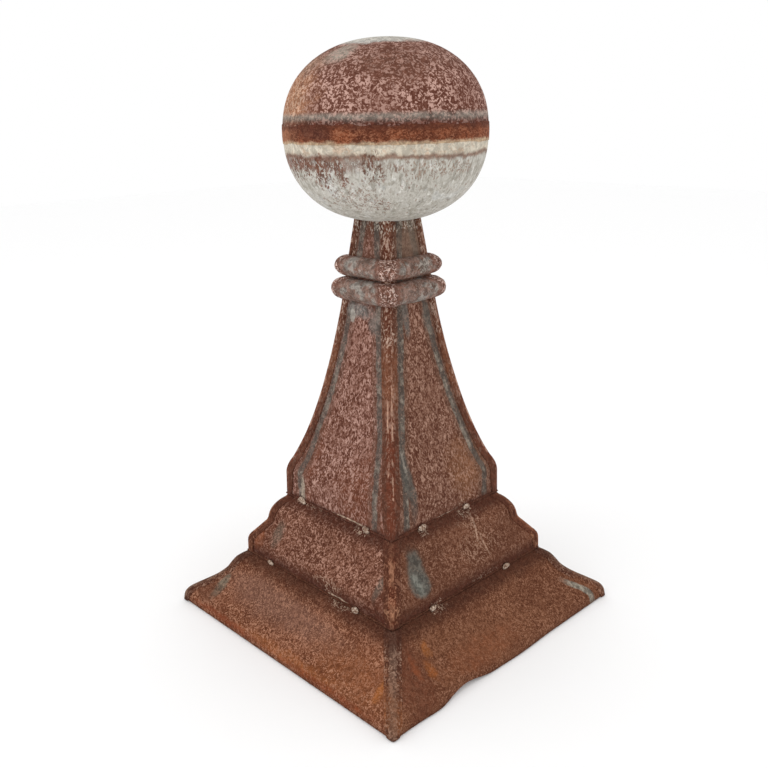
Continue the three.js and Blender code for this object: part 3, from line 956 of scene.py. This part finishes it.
def raiseRib(name, outline, widths):
    half, foot = outline[0]
    leg = rib["leg"] * mm
    corner = half + rib["proud"] * mm
    deselectAll()
    bpy.ops.mesh.primitive_plane_add(size=leg, location=(corner - leg / 2, -corner + leg / 2, foot))
    piece = bpy.context.object
    piece.name = name
    bpy.ops.object.transform_apply(location=True)
    outer = Vector((corner, -corner, foot))
    inner = Vector((corner - leg, -corner + leg, foot))
    selectVertices(piece, lambda co: (co - outer).length < 1e-5)
    bpy.ops.mesh.bevel(offset=rib["nose"] * mm, segments=5, affect="VERTICES")
    selectVertices(piece, lambda co: (co - inner).length < 1e-5)
    bpy.ops.mesh.delete(type="VERT")
    bpy.ops.mesh.select_all(action="SELECT")
    width = widthAt(widths, 0)
    bpy.ops.transform.resize(value=(width, width, 1), center_override=outer)
    for (half, height), (nextHalf, nextHeight) in zip(outline, outline[1:]):
        step = nextHalf - half
        bpy.ops.mesh.extrude_region_move(
            TRANSFORM_OT_translate={"value": (step, -step, nextHeight - height)})
        nextWidth = widthAt(widths, (nextHeight - foot) / mm)
        nextCorner = nextHalf + rib["proud"] * mm
        bpy.ops.transform.resize(value=(nextWidth / width, nextWidth / width, 1),
                                 center_override=(nextCorner, -nextCorner, nextHeight))
        width = nextWidth
    finishEditing()
    turnOutward(piece)
    return piece


def makeRibs(stem, tier, look, broad, above=None):
    outline = outlineOf(tier)
    if stem == "base":
        outline[0] = (outline[0][0], 0.4 * mm)  # keeps the rib's back edge off the floor
    master = raiseRib(stem + "Rib", outline, ribWidths[stem])
    for corner, turns in corners.items():
        piece = turnedCopy(master, f"{stem}Rib_{corner}", turns)
        roughen(piece, broad, 0.35 * mm, above)
        applyModifier(piece, "SOLIDIFY", thickness=(rib["proud"] + rib["bed"]) * mm, offset=-1)
        applyModifier(piece, "BEVEL", width=rib["ease"] * mm, segments=3, limit_method="ANGLE",
                      angle_limit=math.radians(60))
        settle(piece, 50)
        finishPiece(piece, f"{stem}_corner_rib_{corner}", finishes[look])
    bpy.data.objects.remove(master)


makeRibs("base", skirt, "baseRib", 1.2 * mm, above=hem["flat"] * mm)
makeRibs("plinth", plinth, "plinthRib", 1.0 * mm)
makeRibs("shaft", shaft, "shaftRib", 0.9 * mm)
print("corner ribs done")


# Beads round the neck: a rolled moulding in four mitred lengths, its corners softened.

bead = {"wrap": 112, "steps": 26, "cornerRadius": 7.0, "columns": 44}


def makeBead(level):
    low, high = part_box(f"{level}_bead_front")
    radius = (high.z - low.z) / 2
    middle = (high.z + low.z) / 2
    centre = -low.y - radius
    wrap = math.radians(bead["wrap"])
    angles = [-wrap + 2 * wrap * i / bead["steps"] for i in range(bead["steps"] + 1)]
    outline = [(centre + radius * math.cos(a), middle + radius * math.sin(a)) for a in angles]
    tier = raiseTier(level + "Bead", outline, bead["columns"], bead["cornerRadius"] * mm)
    roughen(tier, 1.0 * mm, 1.2 * mm, lump=1.1 * mm)
    for side, piece in splitIntoSides(tier, level + "Bead").items():
        finishPiece(piece, f"{level}_bead_{side}", finishes["bead"])


makeBead("lower")
makeBead("upper")
print("beads done")


# Ball: two spun halves and the lapped belt over their seam.

ball = {
    "above": {"height": 102.1, "squareness": 2.26},
    "below": {"height": 101.5, "squareness": 2.25},
    "radius": 118.5,
    "seam": -1,
    "turns": 144,
    "rings": 44,
}


# Half width of the ball at a height from its widest line.
def ballRadius(height):
    half = ball["above"] if height > 0 else ball["below"]
    part = min(1.0, abs(height) / (half["height"] * mm))
    return ball["radius"] * mm * (1 - part ** half["squareness"]) ** (1 / half["squareness"])


def spinOutline(name, outline):
    deselectAll()
    bpy.ops.mesh.primitive_plane_add(size=mm, location=(0, 0, 0))
    piece = bpy.context.object
    piece.name = name
    startEditing(piece)
    bpy.ops.mesh.merge(type="CENTER")
    bpy.ops.transform.translate(value=(outline[0][0], 0, outline[0][1]))
    for (radius, height), (nextRadius, nextHeight) in zip(outline, outline[1:]):
        bpy.ops.mesh.extrude_region_move(
            TRANSFORM_OT_translate={"value": (nextRadius - radius, 0, nextHeight - height)})
    bpy.ops.mesh.select_all(action="SELECT")
    bpy.ops.mesh.spin(steps=ball["turns"], angle=2 * math.pi, center=(0, 0, 0), axis=(0, 0, 1))
    bpy.ops.mesh.select_all(action="SELECT")
    bpy.ops.mesh.remove_doubles(threshold=1e-5)
    finishEditing()
    return piece


# Outline of one half from the pole to the seam.
def halfOutline(half, seamHeight, sign):
    power = 2 / half["squareness"]
    outline = []
    for i in range(ball["rings"] + 1):
        angle = math.pi / 2 * (1 - i / ball["rings"])
        height = half["height"] * mm * math.sin(angle) ** power
        outline.append((ball["radius"] * mm * math.cos(angle) ** power if i else 0.0, sign * height))
    if sign < 0:
        outline = [point for point in outline if point[1] < seamHeight - 1 * mm]
    outline.append((ballRadius(seamHeight), seamHeight))
    return outline


def makeBall():
    centre = Vector((0, 0, widest))
    seamHeight = ball["seam"] * mm
    for name, half, sign in (("upper", ball["above"], 1), ("lower", ball["below"], -1)):
        outline = halfOutline(half, seamHeight if sign > 0 else seamHeight - jointGap, sign)
        piece = spinOutline(name + "Half", [(radius, widest + height) for radius, height in outline])
        turnOutward(piece, centre)
        roughen(piece, 1.3 * mm, 0.25 * mm)
        applyModifier(piece, "SOLIDIFY", thickness=sheetThickness, offset=-1)
        settle(piece)
        finishPiece(piece, f"ball_{name}_half", finishes["ballUpper" if sign > 0 else "ballLower"])


belt = {"proud": 0.7, "steps": 8, "edge": 0.6, "waver": 5.0, "thickness": 0.9}


def makeBelt():
    low, high = (corner.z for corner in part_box("ball_seam_belt"))
    edge = belt["edge"] * mm
    heights = [low + (high - low) * i / belt["steps"] for i in range(belt["steps"] + 1)]
    outline = [(ballRadius(z - widest) + belt["proud"] * mm, z) for z in heights]
    outline = ([(outline[0][0] - edge, low)] + [(outline[0][0], low + edge / 2)] + outline[1:-1]
               + [(outline[-1][0], high - edge / 2)] + [(outline[-1][0] - edge, high)])
    piece = spinOutline("seamBelt", outline)
    turnOutward(piece, Vector((0, 0, widest)))
    roughen(piece, 1.3 * mm, 0.3 * mm)
    applyModifier(piece, "DISPLACE", texture=closeDents, strength=belt["waver"] * mm, mid_level=0.5,
                  texture_coords="LOCAL", direction="Z")
    applyModifier(piece, "SOLIDIFY", thickness=belt["thickness"] * mm, offset=-1)
    settle(piece)
    finishPiece(piece, "ball_seam_belt", finishes["belt"])


makeBall()
makeBelt()
print("ball done")


# Solder tacks: a lumpy drop at each CAD tack.

def makeTack(node):
    low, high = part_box(node)
    middle = (low + high) / 2
    size = high - low
    deselectAll()
    bpy.ops.mesh.primitive_ico_sphere_add(subdivisions=4, radius=0.5, location=middle)
    piece = bpy.context.object
    piece.name = node + "Drop"
    piece.scale = size
    bpy.ops.object.transform_apply(location=True, scale=True)
    roughen(piece, 0.6 * mm, 1.4 * mm, lump=3.2 * mm)
    settle(piece, 80)
    finishPiece(piece, node, finishes["solder"])


for node in sorted(slotOf):
    if "solder" in node:
        makeTack(node)
print("solder done")


# Floor, light and camera

def makeStage():
    deselectAll()
    bpy.ops.mesh.primitive_plane_add(size=12, location=(0, 0, -0.0005))
    floor = bpy.context.object
    floor.name = "studioFloor"
    paper = bpy.data.materials.new("studioPaper")
    paper.use_nodes = True
    shader = paper.node_tree.nodes["Principled BSDF"]
    shader.inputs["Base Color"].default_value = (0.9, 0.9, 0.9, 1)
    shader.inputs["Roughness"].default_value = 0.9
    shader.inputs["Emission Color"].default_value = (1, 1, 1, 1)
    shader.inputs["Emission Strength"].default_value = 0.08
    floor.data.materials.append(paper)
    world = bpy.data.worlds.new("studioLight")
    world.use_nodes = True
    world.node_tree.nodes["Background"].inputs["Color"].default_value = (1, 1, 1, 1)
    world.node_tree.nodes["Background"].inputs["Strength"].default_value = 1.0
    bpy.context.scene.world = world


def addSoftLight(name, place, target, size, power):
    light = bpy.data.lights.new(name, "AREA")
    light.shape = "DISK"
    light.size = size
    light.energy = power
    lamp = bpy.data.objects.new(name, light)
    bpy.context.collection.objects.link(lamp)
    lamp.location = place
    lamp.rotation_euler = (Vector(target) - Vector(place)).to_track_quat("-Z", "Y").to_euler()


view = {"turn": 46.048, "tilt": 17.458, "roll": -1.1, "lens": 40.81, "sideways": -0.027, "away": 3.655,
        "height": 2.214}  # lengths in half diagonals of the base


def makeCamera():
    unit = -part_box("base_panel_front")[0].y * math.sqrt(2)
    turn = Matrix.Rotation(math.radians(view["turn"]), 4, "Z")
    camera = bpy.data.cameras.new("studioCamera")
    camera.lens = view["lens"]
    camera.sensor_width = 36
    holder = bpy.data.objects.new("studioCamera", camera)
    bpy.context.collection.objects.link(holder)
    place = turn @ Vector((view["sideways"] * unit, -view["away"] * unit, view["height"] * unit))
    tilt = Matrix.Rotation(math.radians(90 - view["tilt"]), 4, "X")
    roll = Matrix.Rotation(math.radians(view["roll"]), 4, "Z")
    holder.matrix_world = Matrix.Translation(place) @ turn @ tilt @ roll
    bpy.context.scene.camera = holder


makeStage()
addSoftLight("keyLight", (-0.6, -2.2, 2.2), (0, 0, 0.3), 1.6, 8)
addSoftLight("topLight", (0.6, 0.2, 2.6), (0, 0, 0.4), 1.2, 4)
makeCamera()
bpy.context.scene.view_settings.view_transform = "Standard"
print("stage done")
